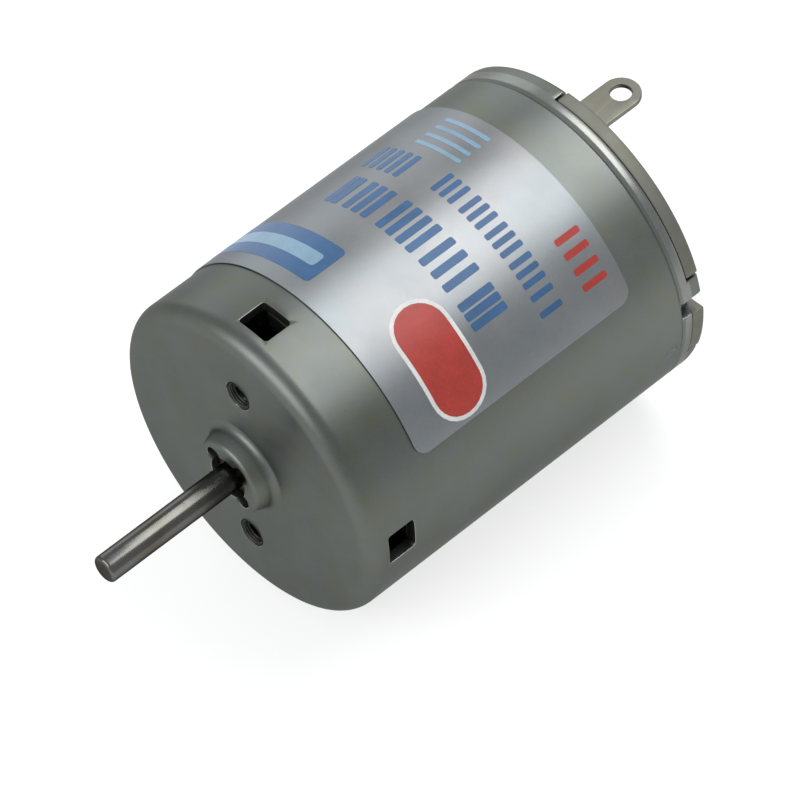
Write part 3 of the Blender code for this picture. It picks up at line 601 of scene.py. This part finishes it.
# Painted shade: a near-black colour for the faces inside the screw holes, standing in for their shadow.
thread_painted_shade = metal("thread_painted_shade", (0.045, 0.047, 0.042), (0.030, 0.028, 0.022), 0.50, lines=ACROSS,
                     line_depth=0.2, relief=0.1)
tinned_brass = metal("tinned_brass", (0.20, 0.20, 0.175), (0.18, 0.165, 0.12), 0.44, lines=ALONG,
                     line_depth=0.6, relief=0.14, wear=0.5, wear_colour=(0.36, 0.34, 0.28), edge_tint=0.5)
spring_steel = metal("spring_steel", (0.40, 0.41, 0.42), (0.30, 0.28, 0.24), 0.32, 1.0, ALONG, 0.6, 0.2)
spring_bronze = metal("spring_bronze", (0.60, 0.38, 0.20), (0.42, 0.24, 0.12), 0.33, 1.0, ALONG, 0.6, 0.2,
                      0.4, (0.78, 0.56, 0.34))
copper = metal("copper", (0.72, 0.34, 0.20), (0.42, 0.20, 0.12), 0.30, 1.0, ACROSS, 1.0, 0.25,
               0.4, (0.85, 0.50, 0.36))
core_steel = metal("core_steel", (0.24, 0.24, 0.25), (0.20, 0.15, 0.11), 0.50, 0.9, ACROSS, 1.6, 0.5,
                   0.4, (0.45, 0.44, 0.42))
print("metals made")

# %% The matt finishes
oiled_bronze = moulded("oiled_bronze", (0.060, 0.045, 0.030), (0.16, 0.12, 0.07), 0.50, 4200.0, 0.7, 0.6, 0.4)
ferrite = moulded("ferrite", (0.035, 0.035, 0.038), (0.09, 0.09, 0.095), 0.62, 3000.0, 0.5, 0.1, 0.35)
carbon = moulded("carbon", (0.030, 0.030, 0.032), (0.10, 0.10, 0.10), 0.55, 5000.0, 0.6, 0.2, 0.3)
oxide = moulded("oxide", (0.10, 0.12, 0.14), (0.18, 0.20, 0.22), 0.6, 2600.0, 0.5)
phenolic = moulded("phenolic", (0.045, 0.036, 0.030), (0.12, 0.09, 0.06), 0.48, 1800.0, 0.4)
green_fibre = moulded("green_fibre", (0.035, 0.16, 0.075), (0.10, 0.28, 0.14), 0.6, 2400.0, 0.5)
pale_fibre = moulded("pale_fibre", (0.60, 0.52, 0.36), (0.44, 0.34, 0.20), 0.6, 2400.0, 0.5)
black_fibre = moulded("black_fibre", (0.040, 0.036, 0.032), (0.09, 0.08, 0.07), 0.6, 2400.0, 0.5)
nylon = moulded("nylon", (0.42, 0.42, 0.40), (0.52, 0.52, 0.50), 0.5, 1500.0, 0.4)

enamelled_wire = bpy.data.materials.new("enamelled_wire")
tree, shader = nodes_of(enamelled_wire)
place = place_node(tree, "ShaderNodeTexCoord").outputs["Object"]
coil = use_effect(tree, wound_wire, place, Ridge_Direction=(1, 1, 1), Wires_Per_Metre=1800.0)
skin = use_effect(tree, metal_skin, place, Colour=(0.50, 0.16, 0.05), Stain=(0.30, 0.09, 0.03),
                  Roughness=0.32)
# Painted shade between the turns of wire darkens the colour.
dark = grey(tree, coil.outputs["Shade"])
tree.links.new(blend(tree, 1.0, skin.outputs["Colour"], dark, "MULTIPLY"), shader.inputs["Base Color"])
tree.links.new(skin.outputs["Roughness"], shader.inputs["Roughness"])
shader.inputs["Metallic"].default_value = 0.7
shader.inputs["Coat Weight"].default_value = 0.5
tree.links.new(place_node(tree, "ShaderNodeBump", Height=coil.outputs["Ridge"], Strength=0.8,
                          Distance=0.00012).outputs[0], shader.inputs["Normal"])
print("matt finishes made")

# %% [markdown]
# ## The can
#
# The real can is one cup, pressed deeper and deeper out of thin steel strip. Its side is straight,
# the corner at its closed end is rounded, and a small boss in the middle of that end holds the
# front bush. Holes are punched last: two screw holes, a mouth for the shaft with four lobes
# where a tool holds the boss, and four windows whose tongues stop the magnets.
#
# Here the wall's section, with its real thickness, is spun round the axis, and the holes are
# punched with Boolean modifiers. The rim has a shallow groove pressed round it, just in front of
# the edge that is rolled in over the end cap.

# %% The can's wall
CAN, BORE = 12.1, 11.3            # the can outside and inside, as distances from the axis
RIM, REAR = 29.42, 30.5           # the bottom of the rim cuts, and the rearmost plane of the rim
FINE = 144                        # steps round the large pieces
section = [(1.6, -1.5), *arc((2.42, -1.1), 0.4, -90, -22), (3.0, -0.74), *arc((3.65, -0.6), 0.6, 175, 90),
           (5.2, 0), (6.9, 0), (8.8, 0), *arc((10.8, 1.3), 1.3, -90, 0, 10)]
section += [(CAN, y) for y in (4.5, 8, 12, 16, 20, 24, 26.4, 28.0, 28.4)]
section += [(12.03, 28.5), (12.0, 28.6), (12.03, 28.7), (12.09, 28.8), (CAN, 28.9), (CAN, 29.15), (CAN, 29.6),
            *arc((11.8, 30.2), 0.3, 0, 90, 4)]
section += [(10.5, REAR), (10.5, 30.0), (BORE, 30.0), (BORE, 24), (BORE, 14), (BORE, 6),
            *arc((10.8, 1.3), 0.5, 0, -90, 6)]
section += [(7.2, 0.8), (2.5, 0.8), (2.5, -0.9), (1.6, -0.9)]
can = turned("can_shell", section, FINE)
print("can wall", len(can.data.polygons), "faces")

# %% Holes and tongues
for turn in FOUR_SIDES:
    weld(can, block("tongue", (2.0, 0.5, 1.8), (0, 4.2, 10.8), turn))
for turn in FOUR_SIDES:
    cut(can, block("window_punch", (2.65, 2.25, 3.0), (0, 2.82, 12.0), turn, 0.26))
SCREW_PLACE = 7.0                 # from the axis to the middle of a screw hole
for up in (SCREW_PLACE, -SCREW_PLACE):
    threads = [(0, -0.5), (1.07, -0.5), (1.07, 0.02), (0.98, 0.10)]
    for y in (0.2, 0.4, 0.6):
        threads += [(0.86, y - 0.08), (0.98, y)]
    punch = turned("tapped_hole", threads + [(0.98, 1.3), (0, 1.3)], 32)
    punch.location.z = up * MM
    cut(can, settle(punch))
for turn in (45, 135, 225, 315):
    cut(can, rod("lobe_punch", 0.6, -2.0, -0.5, on_circle(1.8, turn), 24))
print("holes punched", len(can.data.polygons), "faces")

# %% [markdown]
# ## The rim of the can
#
# When the cap is in, parts of the can's rim are rolled in over it, and the cap's ears reach out
# through cuts between them. The cuts could be drawn into the cup's outline, but it is spun whole, so
# they are taken out of it afterwards as blocks of a ring, the same on both sides of the motor.

# %% Cuts in the rim
for turn in BOTH_SIDES:
    cut(can, sector("wide_cut", 9.5, 13, RIM, 32, -3.0 + turn, 73.5 + turn))
    cut(can, sector("notch", 9.5, 13, 28.6, 32, 80.5 + turn, 86.6 + turn))
    cut(can, sector("narrow_cut", 9.5, 13, RIM, 32, 86.4 + turn, 108.5 + turn))
print("rim cut", len(can.data.polygons), "faces")

# %% [markdown]
# ## Punch marks, a painted glint and painted shade
#
# A blunt punch presses the wall in near the rim, which grips the cap inside it. Each mark is the
# hollow left by a small flattened ball. The rolled edge and the corners get a glossier, burnished steel
# whose brighter colour is a painted highlight, so that they glint. The faces inside the screw holes
# get a near-black colour, painted shade that stands in for the shadow in the holes.

# %% Punch marks
def dent(degrees, along, size, depth):
    """A shallow dent: a small flattened ball, sunk into the wall."""
    across, up = on_circle(CAN + size[1] - depth, degrees)
    bpy.ops.object.select_all(action="DESELECT")
    bpy.ops.mesh.primitive_uv_sphere_add(segments=24, ring_count=12, radius=MM)
    ball = bpy.context.object
    ball.scale = (size[0], size[2], size[1])
    ball.rotation_euler = (0, math.radians(degrees), 0)
    ball.location = Vector((across, along, up)) * MM
    return settle(ball)


for turn in BOTH_SIDES:
    cut(can, dent(98 + turn, 27.5, (0.40, 0.4, 0.6), 0.16))
# Slot 1 is the burnished steel with its painted glint, and slot 2 is the painted shade inside the screw holes.
PLATED, BURNISHED_GLINT, THREAD = 0, 1, 2
dress(can, plated_steel, burnished_steel_painted_glint, thread_painted_shade)


def on_the_bead(m):
    return 28.85 < m.y < 29.6 and math.hypot(m.x, m.z) > 11.9


def in_a_dent(m):
    return 26.4 < m.y < 28.3


def in_a_thread(m):
    return 0.01 < m.y < 0.85 and math.hypot(m.x, abs(m.z) - SCREW_PLACE) < 1.04


print("burnished faces", paint_faces(can, BURNISHED_GLINT, on_the_bead))
# The bevels' narrow faces take slot 1, so every rounded edge gets the painted glint.
soften(can, 0.06, 2, 38, BURNISHED_GLINT)
print("dent faces", paint_faces(can, PLATED, in_a_dent))
# The faces inside the screw holes take the painted shade.
print("thread faces", paint_faces(can, THREAD, in_a_thread))
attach(can, "housing")
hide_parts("can")
print("can", len(can.data.polygons), "faces")

# %% [markdown]
# ## The end cap
#
# The rear of the can is closed by a pressed steel cap. It has a boss for the rear bush, two
# curved vents, two slots where the moulded collars carry the tabs out, and four ears that lie in the
# cuts of the can's rim. It is turned as a plate, and the ears are welded on.

# %% The end cap
EAR_FRONT = 29.48
cap = turned("rear_cap", [
    (2.5, 28.5), (6.0, 28.5), (11.2, 28.5), (11.2, 29.9), (9.7, 29.9), (9.55, 29.82), (9.35, 29.82),
    (9.2, 29.9), (3.75, 29.9), *arc((3.75, 30.35), 0.45, -90, -180, 5), *arc((2.95, 31.25), 0.35, 0, 90, 5),
    (1.6, 31.6), (1.6, 31.2), (2.5, 31.2)], FINE)
for turn in BOTH_SIDES:
    weld(cap, sector("wide_ear", 10.4, CAN, EAR_FRONT, REAR, -2.0 + turn, 72.5 + turn))
    weld(cap, sector("narrow_ear", 10.4, CAN, EAR_FRONT, REAR, 87.5 + turn, 107.5 + turn))
    cut(cap, block("collar_slot", (3.7, 2.5, 1.8), (0, 29.2, 8.8), turn))
for side in (90, 270):
    cut(cap, sector("vent", 6.0, 7.8, 28, 31, side - 24, side + 24))
soften(cap, 0.10, 3, 38)
dress(cap, cap_steel)
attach(cap, "housing")
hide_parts("end_cap")
print("end cap", len(cap.data.polygons), "faces")

# %% [markdown]
# ## The solder tabs
#
# Each tab is a strip blanked from thin tinned brass, with a round end and an eyelet for the lead.
# A flat strip is drawn as an outline, filled, extruded to its thickness and punched, and its edges
# are then rounded a little, as tumbling rounds a blanked part.

# %% The solder tabs
def solder_tab(name, turn):
    half = 1.4
    round_end = [(half * math.cos(a), 34.9 + half * math.sin(a)) for a in
                 [math.pi * i / 24 for i in range(25)]]
    strip = outline(name, [(x, y, 8.6) for x, y in [(-half, 23.6), (half, 23.6), *round_end, (-half, 23.6)]])
    bpy.ops.object.mode_set(mode="EDIT")
    bpy.ops.mesh.select_all(action="SELECT")
    bpy.ops.mesh.remove_doubles(threshold=MERGE_GAP)
    bpy.ops.mesh.edge_face_add()
    bpy.ops.mesh.extrude_region_move(TRANSFORM_OT_translate={"value": (0, 0, 0.4 * MM)})
    bpy.ops.object.mode_set(mode="OBJECT")
    clean(strip)
    bpy.ops.object.select_all(action="DESELECT")
    bpy.ops.mesh.primitive_cylinder_add(vertices=40, radius=0.75 * MM, depth=2 * MM,
                                        location=(0, 34.9 * MM, 8.8 * MM))
    cut(strip, settle(bpy.context.object))
    soften(strip, 0.07, 3, 40)
    bpy.ops.object.select_all(action="DESELECT")
    strip.matrix_world = Matrix.Rotation(math.radians(turn), 4, "Y")
    settle(strip)
    dress(strip, tinned_brass)
    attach(strip, "housing")
    return strip


for name, turn in (("terminal_top", 0), ("terminal_bottom", 180)):
    tab = solder_tab(name.replace("terminal", "solder_tab"), turn)
    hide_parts(name)
    print(tab.name, len(tab.data.polygons), "faces")

# %% [markdown]
# ## The shaft and the bushes
#
# The shaft is ground steel wire with turned ends, and the bushes are sintered bronze, soaked in
# oil. All are round, so each is one spun section.

# %% The shaft and the bushes
shaft = turned("steel_shaft", [(0, -12.4), (0.62, -12.4), *arc((0.76, -12.16), 0.24, -90, 0, 5),
                               (1.0, -9), (1.0, 0), (1.0, 10), (1.0, 20), (1.0, 30.5),
                               *arc((0.78, 30.68), 0.22, 0, 90, 5), (0, 30.9)], 64)
smooth(shaft)
dress(shaft, ground_steel)
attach(shaft, "rotor")
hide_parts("shaft")
for name, front, back in (("front_bush", -0.8, 1.8), ("rear_bush", 28.5, 31.1)):
    bush = ring(name.replace("bush", "bronze_bush"), 1.05, 2.4, front, back, 64)
    soften(bush, 0.12, 3)
    dress(bush, oiled_bronze)
    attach(bush, "housing")
    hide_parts(name)
print("shaft and bushes made")

# %% [markdown]
# ## The foil label
#
# The label is a strip of thin metal foil, glued on and rolled round the can through 250 degrees. It is
# easiest to make as it was made: cut flat, with rounded corners, and then rolled. A Simple Deform
# modifier rolls it, but it needs points to bend at, so the flat sheet is first sliced across with many
# bisect cuts. The printed bars are thin patches of ink, rolled in the same way, just outside the foil.

# %% Rolling a flat patch
ROLL = 12.14                      # the radius at which a flat sheet keeps its length


def flat_patches(name, patches, under, over, corner):
    """Flat patches (first x, last x, first y, last y) in mm as one mesh, from one height to another."""
    made = []
    for x1, x2, y1, y2 in patches:
        bpy.ops.object.select_all(action="DESELECT")
        bpy.ops.mesh.primitive_plane_add(size=MM)
        patch = bpy.context.object
        patch.scale = (x2 - x1, y2 - y1, 1)
        patch.location = Vector(((x1 + x2) / 2, (y1 + y2) / 2, under)) * MM
        settle(patch)
        bpy.ops.object.mode_set(mode="EDIT")
        bpy.ops.mesh.select_all(action="SELECT")
        bpy.ops.mesh.bevel(offset=corner * MM, offset_type="OFFSET", segments=6, affect="VERTICES")
        bpy.ops.object.mode_set(mode="OBJECT")
        made.append(patch)
    only(made[0])
    for patch in made:
        patch.select_set(True)
    if len(made) > 1:
        bpy.ops.object.join()
    sheet = bpy.context.object
    sheet.name = sheet.data.name = name
    bpy.ops.object.mode_set(mode="EDIT")
    low, high = min(p[0] for p in patches), max(p[1] for p in patches)
    slices = max(2, round((high - low) / 0.5))
    for number in range(1, slices):
        bpy.ops.mesh.select_all(action="SELECT")
        place = (low + (high - low) * number / slices) * MM
        bpy.ops.mesh.bisect(plane_co=(place, 0, 0), plane_no=(1, 0, 0))
    bpy.ops.mesh.select_all(action="SELECT")
    bpy.ops.mesh.extrude_region_move(TRANSFORM_OT_translate={"value": (0, 0, (over - under) * MM)})
    bpy.ops.object.mode_set(mode="OBJECT")
    return clean(sheet)


def rolled(sheet):
    """Roll a flat sheet round the motor's axis. Flat x becomes the way round, and x = 0 is the top."""
    sheet.rotation_euler = (math.pi / 2, 0, 0)
    settle(sheet)
    across = [v.co.x for v in sheet.data.vertices]
    roll = sheet.modifiers.new("roll", "SIMPLE_DEFORM")
    roll.deform_method, roll.deform_axis = "BEND", "Z"
    roll.angle = (max(across) - min(across)) / (ROLL * MM)
    apply_modifiers(sheet)
    sheet.location = (0, -ROLL * MM, 0)
    settle(sheet)
    sheet.rotation_euler = (-math.pi / 2, 0, 0)
    return clean(settle(sheet))


def round_the_can(degrees):
    """How far an angle reaches on the flat sheet, in mm."""
    return math.radians(degrees) * ROLL


foil_outline = (round_the_can(-185), round_the_can(65), 5.6, 24.9)
foil = rolled(flat_patches("foil_label", [foil_outline], -0.03, 0.08, 1.0))
distances = [math.hypot(v.co.x, v.co.z) / MM for v in foil.data.vertices]
turns = [math.degrees(math.atan2(v.co.x, v.co.z)) for v in foil.data.vertices if v.co.x > 0]
print("foil from", round(min(distances), 3), "to", round(max(distances), 3), "mm")
print("foil edge at", round(max(turns), 1), "degrees")

# %% [markdown]
# ## Foil and ink
#
# The foil mirrors the room more than the can does, with a faint crinkle from the glue beneath it and
# a breath of pink and blue in its lacquer. The inks are printed thin and dry to a satin finish, so
# they hide nearly all of the metal's shine.

# %% Foil and inks
label_foil = bpy.data.materials.new("label_foil")
tree, shader = nodes_of(label_foil)
place = place_node(tree, "ShaderNodeTexCoord").outputs["Object"]
skin = use_effect(tree, metal_skin, place, Colour=(0.252, 0.267, 0.270), Stain=(0.272, 0.270, 0.268),
                  Roughness=0.42, Line_Direction=(1, 0.02, 1), Line_Depth=0.3)
drift = noise(tree, place, 130, 2, 0.5)
lacquer = blend(tree, spread(tree, drift, 0.35, 0.65), (0.965, 1.0, 1.035, 1), (1.02, 0.995, 1.01, 1))
tree.links.new(blend(tree, 1.0, skin.outputs["Colour"], lacquer, "MULTIPLY"), shader.inputs["Base Color"])
tree.links.new(skin.outputs["Roughness"], shader.inputs["Roughness"])
shader.inputs["Metallic"].default_value = 1.0
shader.inputs["Specular Tint"].default_value = (0.5, 0.5, 0.5, 1)
crinkle = noise(tree, place, 900, 4, 0.6)
height = sum_of(tree, "ADD", skin.outputs["Height"], sum_of(tree, "MULTIPLY", crinkle, 2.0))
tree.links.new(place_node(tree, "ShaderNodeBump", Height=height, Strength=0.07, Distance=0.00003).outputs[0],
               shader.inputs["Normal"])


def ink(name, colour, roughness=0.42, metallic=0.05):
    """A printed ink: an even colour with tiny pinholes and a slightly uneven gloss."""
    fleck = tuple(min(1, c * 1.5 + 0.03) for c in colour)
    return moulded(name, colour, fleck, roughness, 6500.0, 0.22, metallic, 0.12)


blue_ink = ink("blue_ink", (0.024, 0.088, 0.205))
red_ink = ink("red_ink", (0.34, 0.027, 0.018))
white_ink = ink("white_ink", (0.58, 0.59, 0.58))
pale_blue_ink = ink("pale_blue_ink", (0.17, 0.28, 0.38))
soften(foil, 0.02, 2, 50)
dress(foil, label_foil)
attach(foil, "housing")
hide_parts("label")
print("foil", len(foil.data.polygons), "faces")

# %% [markdown]
# ## The print
#
# A label is printed flat in a few inks. Here plain bars and one plain capsule stand where a real
# label carries its maker's print. Each ink is one flat mesh, rolled like the foil, and it lies a
# hundredth of a millimetre or so above what is under it, so that the two never flicker.

# %% The print
TOP_ROW = [(7.0, 9.1), (3.1, 6.0), (-1.0, 2.4), (-4.3, -1.9), (-6.2, -4.9)]
LOWER_ROW = [(9.4, 11.1), (6.9, 8.9), (4.4, 6.4), (1.9, 3.9), (-0.7, 1.3)]


def bars(first, last, low, high, thick=0.52):
    """Upright bars, evenly spaced, that fill a width as a word would."""
    count = max(2, round((last - first + 0.4) / 0.95))
    gap = (last - first - thick) / (count - 1)
    return [(first + gap * n, first + gap * n + thick, low, high) for n in range(count)]


blocks = [bar for a, b in TOP_ROW for bar in bars(a, b, 13.4, 16.4, 0.6)]
blocks += [bar for a, b in LOWER_ROW for bar in bars(a, b, 18.1, 20.0, 0.45)]
blocks += bars(-7.2, -3.3, 17.5, 19.9, 0.5)
red_blocks = bars(7.4, 9.0, 21.8, 23.9, 0.5) + bars(9.7, 11.4, 21.8, 23.9, 0.5)
prints = [                        # name, ink, patches, height under, height over, corner
    ("blue_bar", blue_ink, [(-16.0, -0.4, 6.9, 10.5)], 0.078, 0.092, 0.4),
    ("blue_bar_stripe", pale_blue_ink, [(-15.2, -1.2, 8.1, 9.3)], 0.090, 0.100, 0.3),
    ("red_capsule_border", white_ink, [(4.8, 13.5, 8.1, 12.6)], 0.078, 0.090, 2.2),
    ("red_capsule", red_ink, [(5.1, 13.2, 8.4, 12.3)], 0.088, 0.100, 1.9),
    ("blue_bars", blue_ink, blocks, 0.078, 0.092, 0.15),
    ("red_bars", red_ink, red_blocks, 0.078, 0.092, 0.15),
    ("pale_lines", pale_blue_ink, [(-5.3, -0.9, y, y + 0.35) for y in (20.9, 21.8, 22.7, 23.6)],
     0.078, 0.090, 0.1),
]
for name, finish, patches, under, over, corner in prints:
    printed = rolled(flat_patches(name, patches, under, over, corner))
    smooth(printed)
    dress(printed, finish)
    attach(printed, "housing")
    print(name, len(printed.data.polygons), "faces")

# %% [markdown]
# ## What shows through the openings
#
# The windows show the magnets' front edges, and the vents show the moulded brush holder. The measured
# model's shapes are right there, but their edges are razor sharp. A copy of each is merged from
# loose triangles into whole faces, and its edges are then softened.

# %% Softened copies
def softened_copy(node, name, width, finish, body):
    """A copy of a measured piece with whole faces and soft edges, which takes its place."""
    only(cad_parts[node])
    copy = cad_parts[node].copy()
    copy.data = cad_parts[node].data.copy()
    copy.name = copy.data.name = name
    for key in list(copy.keys()):
        del copy[key]
    bpy.context.scene.collection.objects.link(copy)
    clean(copy)
    bpy.ops.object.mode_set(mode="EDIT")
    bpy.ops.mesh.select_all(action="SELECT")
    bpy.ops.mesh.dissolve_limited(angle_limit=math.radians(1))
    bpy.ops.object.mode_set(mode="OBJECT")
    soften(copy, width, 2, 40)
    dress(copy, finish)
    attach(copy, body)
    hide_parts(node)
    print(name, len(copy.data.polygons), "faces")
    return copy


softened_copy("brush_holder", "moulded_brush_holder", 0.08, phenolic, "housing")
softened_copy("magnet_left", "ferrite_magnet_left", 0.15, ferrite, "housing")
softened_copy("magnet_right", "ferrite_magnet_right", 0.15, ferrite, "housing")

# %% [markdown]
# ## Finishes for the hidden works
#
# The rest of the motor is hidden, but somebody may take it apart. Those pieces keep the measured
# model's shape, and each gets the finish of its real material: stacked steel, copper, carbon, fibre and
# enamelled wire.

# %% Finishes for the hidden works
hidden_works = {
    spring_steel: ("magnet_clip_top", "magnet_clip_bottom"),
    spring_bronze: ("brush_arm_right", "brush_arm_left"),
    carbon: ("brush_right", "brush_left"),
    core_steel: ("armature_core",),
    green_fibre: ("core_insulator_front", "core_insulator_rear"),
    enamelled_wire: ("winding_1", "winding_2", "winding_3"),
    phenolic: ("commutator_hub",),
    copper: ("commutator_segment_1", "commutator_segment_2", "commutator_segment_3"),
    black_fibre: ("commutator_ring",),
    oxide: ("varistor_ring",),
    nylon: ("spacer_front", "spacer_rear"),
    pale_fibre: ("thrust_washer_front", "thrust_washer_rear"),
}
for finish, names in hidden_works.items():
    for name in names:
        dress(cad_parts[name], finish)
print("finished", sum(len(names) for names in hidden_works.values()), "hidden pieces")

# %% [markdown]
# ## The last step
#
# The script ends with nothing selected.

# %% Finish
bpy.ops.object.select_all(action="DESELECT")
